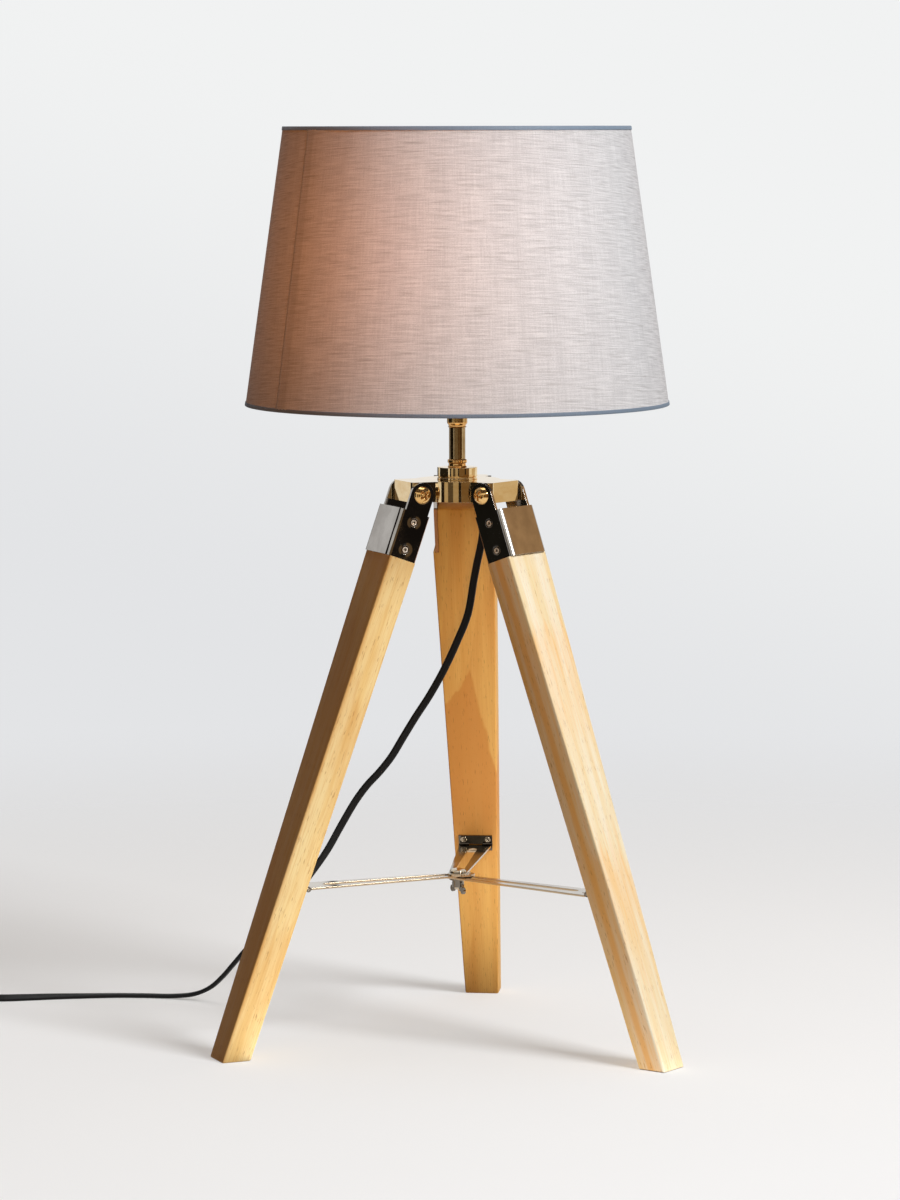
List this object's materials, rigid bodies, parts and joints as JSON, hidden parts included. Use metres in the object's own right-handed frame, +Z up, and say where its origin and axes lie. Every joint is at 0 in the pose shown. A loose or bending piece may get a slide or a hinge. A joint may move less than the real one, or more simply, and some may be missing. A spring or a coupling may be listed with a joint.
{
  "type": "tripod table lamp",
  "caption": "Table lamp with three hinged wooden legs under a metal hub, folding slotted stays, a short stem and a tapered drum shade.",
  "frame": {"origin": "on the surface that the lamp stands on, below the middle of the hub", "axes": "+Z up the lamp's axis; +Y towards the back leg; the camera of the picture is towards -Y"},
  "size_m": [0.613, 0.335, 0.6485],
  "materials": {
    "pine": "oiled, open grain",
    "bracket_steel": "polished dark nickel",
    "stay_steel": "polished, with fine scratches",
    "bright_steel": "polished",
    "gilt": "polished pale gold",
    "bronze_tube": "polished bronze",
    "brass_inner": "plain",
    "holder_plastic": "matt",
    "insulator": "matt",
    "nylon": "matt",
    "switch_black": "satin",
    "white_wire": "gloss white",
    "shade_linen": "laminated linen, slub weave",
    "hem_tape": "woven tape",
    "bulb_glass": "frosted",
    "bulb_cap_metal": "bright",
    "black_pvc": "satin",
    "tie_plastic": "matt",
    "pin_metal": "nickel plated"
  },
  "bodies": {
    "lamp": {"hub": "gilt", "hub_cover": "gilt", "cover_screws": "gilt", "hub_nut": "bright_steel", "hub_boss": "gilt", "pivot_screws": "gilt", "pivot_washers": "nylon", "threaded_rod": "brass_inner", "lower_collar": "gilt", "stem_tube": "bronze_tube", "upper_collar": "gilt", "holder_cap": "brass_inner", "holder_body": "holder_plastic", "holder_insert": "insulator", "holder_shell": "brass_inner", "holder_contact": "brass_inner", "shade_ring": "holder_plastic", "bulb_cap": "bulb_cap_metal", "bulb_globe": "bulb_glass", "shade_frame": "white_wire", "shade_low_ring": "white_wire", "shade_top_ring": "white_wire", "shade_skin": "shade_linen", "shade_hem_top": "hem_tape", "shade_hem_bottom": "hem_tape", "cord_gland": "black_pvc", "inner_lead": "black_pvc", "cord": "black_pvc", "cord_coil": "black_pvc", "coil_ties": "tie_plastic", "plug_body": "black_pvc", "plug_pins": "pin_metal"},
    "leg_back_body": {"leg_back": "pine", "bracket_back": "bracket_steel", "bracket_screws_back": "bright_steel", "stay_hinge_back": "stay_steel", "hinge_screws_back": "bright_steel", "hinge_pin_back": "bright_steel"},
    "leg_left_body": {"leg_left": "pine", "bracket_left": "bracket_steel", "bracket_screws_left": "bright_steel", "stay_hinge_left": "stay_steel", "hinge_screws_left": "bright_steel", "hinge_pin_left": "bright_steel"},
    "leg_right_body": {"leg_right": "pine", "bracket_right": "bracket_steel", "bracket_screws_right": "bright_steel", "stay_hinge_right": "stay_steel", "hinge_screws_right": "bright_steel", "hinge_pin_right": "bright_steel"},
    "stay_back_body": {"stay_back": "stay_steel"},
    "stay_left_body": {"stay_left": "stay_steel"},
    "stay_right_body": {"stay_right": "stay_steel"},
    "centre_bolt_body": {"centre_bolt": "bright_steel", "centre_washer": "stay_steel"},
    "wing_nut_body": {"wing_nut": "stay_steel"},
    "switch_body": {"switch_bar": "switch_black"}
  },
  "joints": [
    {"name": "leg_back_hinge", "type": "hinge", "parent": "lamp", "child": "leg_back_body", "pos_m": [0, 0.0355, 0.39214], "axis": [-1, 0, 0], "range_deg": [0, 18]},
    {"name": "leg_left_hinge", "type": "hinge", "parent": "lamp", "child": "leg_left_body", "pos_m": [-0.03074, -0.01775, 0.39214], "axis": [0.5, -0.866, 0], "range_deg": [0, 18]},
    {"name": "leg_right_hinge", "type": "hinge", "parent": "lamp", "child": "leg_right_body", "pos_m": [0.03074, -0.01775, 0.39214], "axis": [0.5, 0.866, 0], "range_deg": [0, 18]},
    {"name": "stay_back_hinge", "type": "hinge", "parent": "leg_back_body", "child": "stay_back_body", "pos_m": [0, 0.11964, 0.118], "axis": [-1, 0, 0], "range_deg": [-18, 0]},
    {"name": "stay_left_hinge", "type": "hinge", "parent": "leg_left_body", "child": "stay_left_body", "pos_m": [-0.10361, -0.05982, 0.118], "axis": [0.5, -0.866, 0], "range_deg": [-18, 0]},
    {"name": "stay_right_hinge", "type": "hinge", "parent": "leg_right_body", "child": "stay_right_body", "pos_m": [0.10361, -0.05982, 0.118], "axis": [0.5, 0.866, 0], "range_deg": [-18, 0]},
    {"name": "centre_bolt_slide", "type": "slide", "parent": "stay_back_body", "child": "centre_bolt_body", "axis": [0, 1, 0], "range_m": [0, 0.089]},
    {"name": "wing_nut_turn", "type": "hinge", "parent": "centre_bolt_body", "child": "wing_nut_body", "pos_m": [0, 0, 0.112], "axis": [0, 0, 1], "continuous": true},
    {"name": "switch_push", "type": "slide", "parent": "lamp", "child": "switch_body", "axis": [0, -1, 0], "range_m": [0, 0.006]}
  ],
  "couplings": [
    {"joint": "leg_left_hinge", "follows": "leg_back_hinge", "ratio": 1},
    {"joint": "leg_right_hinge", "follows": "leg_back_hinge", "ratio": 1},
    {"joint": "stay_back_hinge", "follows": "leg_back_hinge", "ratio": -1},
    {"joint": "stay_left_hinge", "follows": "leg_back_hinge", "ratio": -1},
    {"joint": "stay_right_hinge", "follows": "leg_back_hinge", "ratio": -1},
    {"joint": "centre_bolt_slide", "follows": "leg_back_hinge", "m_per_rad": 0.28276}
  ]
}
